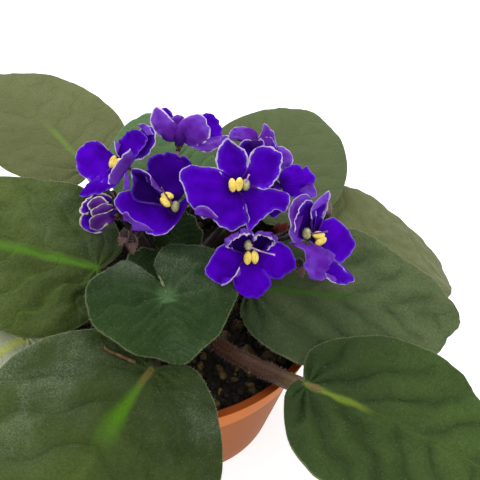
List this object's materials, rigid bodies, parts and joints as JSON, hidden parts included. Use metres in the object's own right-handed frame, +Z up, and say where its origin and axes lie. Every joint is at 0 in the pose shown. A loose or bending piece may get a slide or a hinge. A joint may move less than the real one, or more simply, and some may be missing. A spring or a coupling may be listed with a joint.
{
  "type": "potted african violet",
  "caption": "Potted African violet: a rosette of broad hairy heart-shaped leaves round a cluster of violet-blue flowers, in a squat collared terracotta-coloured pot of potting mix.",
  "frame": {"origin": "the middle of the pot's flat base, on the surface that it stands on", "axes": "+Z up the pot's axis, +X to the right and -Y to the front as the picture sees the plant"},
  "size_m": [0.2249, 0.2353, 0.1384],
  "materials": {
    "terracotta_plastic": "satin",
    "potting_mix": "loose damp peat with grit",
    "leaf_green": "softly hairy leaf",
    "stem_brown": "hairy reddish stem",
    "petal_violet": "velvety petal with a pale edge",
    "anther_yellow": "matt"
  },
  "bodies": {
    "root": {"pot": "terracotta_plastic", "soil": "potting_mix", "crown": "stem_brown", "leaf_back_left": "leaf_green", "leaf_left": "leaf_green", "leaf_front_small": "leaf_green", "leaf_front_left": "leaf_green", "leaf_left_low": "leaf_green", "leaf_front_right": "leaf_green", "leaf_right": "leaf_green", "leaf_right_back": "leaf_green", "leaf_back": "leaf_green", "leaf_back_small": "leaf_green", "leaf_inner_back": "leaf_green", "leaf_inner_front": "leaf_green", "flower_1_corolla": "petal_violet", "flower_1_anthers": "anther_yellow", "flower_2_corolla": "petal_violet", "flower_2_anthers": "anther_yellow", "flower_3_corolla": "petal_violet", "flower_3_anthers": "anther_yellow", "flower_4_corolla": "petal_violet", "flower_5_corolla": "petal_violet", "flower_5_anthers": "anther_yellow", "flower_6_corolla": "petal_violet", "flower_6_anthers": "anther_yellow", "flower_7_corolla": "petal_violet", "flower_7_anthers": "anther_yellow", "flower_8_corolla": "petal_violet", "flower_8_anthers": "anther_yellow", "flower_9_corolla": "petal_violet", "flower_9_anthers": "anther_yellow", "stalk_back": "stem_brown", "stalk_left": "stem_brown", "stalk_middle": "stem_brown", "stalk_right": "stem_brown"}
  },
  "joints": []
}
